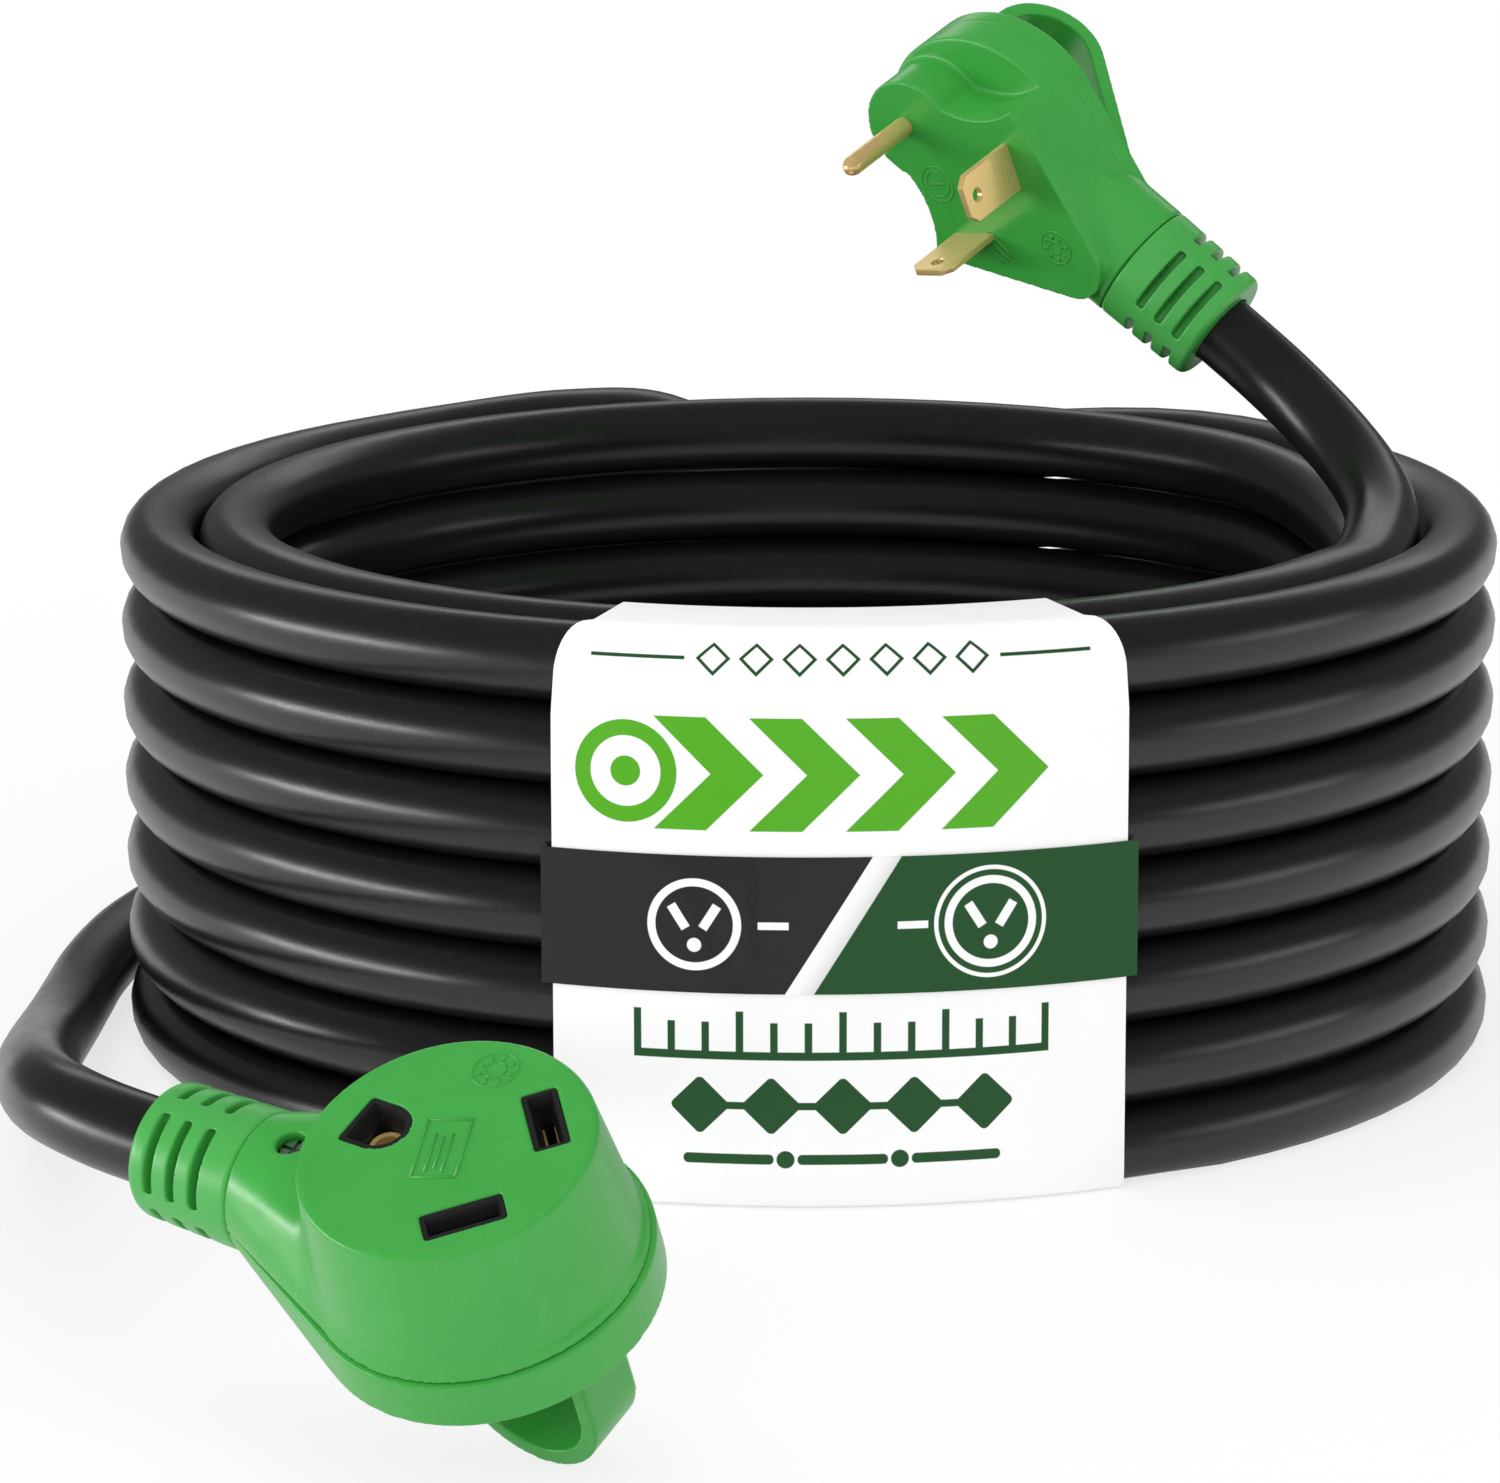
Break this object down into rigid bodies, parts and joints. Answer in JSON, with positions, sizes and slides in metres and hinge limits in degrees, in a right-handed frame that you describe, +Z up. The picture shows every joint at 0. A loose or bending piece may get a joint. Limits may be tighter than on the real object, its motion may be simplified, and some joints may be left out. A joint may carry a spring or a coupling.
{
  "type": "shore power cord",
  "caption": "Wound shore power cord with a straight-blade plug, a matching connector, pull handles on both, and a card sleeve round the coil.",
  "frame": {"origin": "point on the floor under the middle of the whole cord, with its coil, plug and connector", "axes": "+Z up, +X to the right of the coil seen from its label, -Y towards the viewer of the label"},
  "size_m": [0.334, 0.7093, 0.2262],
  "materials": {
    "body_plastic": "satin green moulded plastic",
    "boot_rubber": "green flexible moulded boot",
    "jacket": "matte black cord jacket",
    "brass": "bright rolled brass",
    "block_plastic": "black insulating plastic",
    "screw_steel": "plated steel",
    "wire_black": "black conductor insulation",
    "wire_white": "white conductor insulation",
    "wire_green": "green conductor insulation",
    "card": "white coated card",
    "belt_print": "dark printed belt"
  },
  "bodies": {
    "root": {"plug_housing": "body_plastic", "plug_rear_cover": "body_plastic", "plug_contact_carrier": "block_plastic", "plug_line_blade": "brass", "plug_neutral_blade": "brass", "plug_ground_pin": "brass", "plug_terminal_screws": "screw_steel", "plug_cover_screws": "screw_steel", "plug_cord_clamp": "block_plastic", "plug_strain_relief": "boot_rubber", "plug_line_wire": "wire_black", "plug_neutral_wire": "wire_white", "plug_ground_wire": "wire_green", "connector_housing": "body_plastic", "connector_rear_cover": "body_plastic", "connector_contact_block": "block_plastic", "connector_line_contact": "brass", "connector_neutral_contact": "brass", "connector_ground_contact": "brass", "connector_terminal_screws": "screw_steel", "connector_cover_screws": "screw_steel", "connector_cord_clamp": "block_plastic", "connector_strain_relief": "boot_rubber", "connector_line_wire": "wire_black", "connector_neutral_wire": "wire_white", "connector_ground_wire": "wire_green", "cord_coil": "jacket", "cord_plug_tail": "jacket", "cord_connector_tail": "jacket", "label_sleeve": "card", "label_band": "belt_print"}
  },
  "joints": []
}
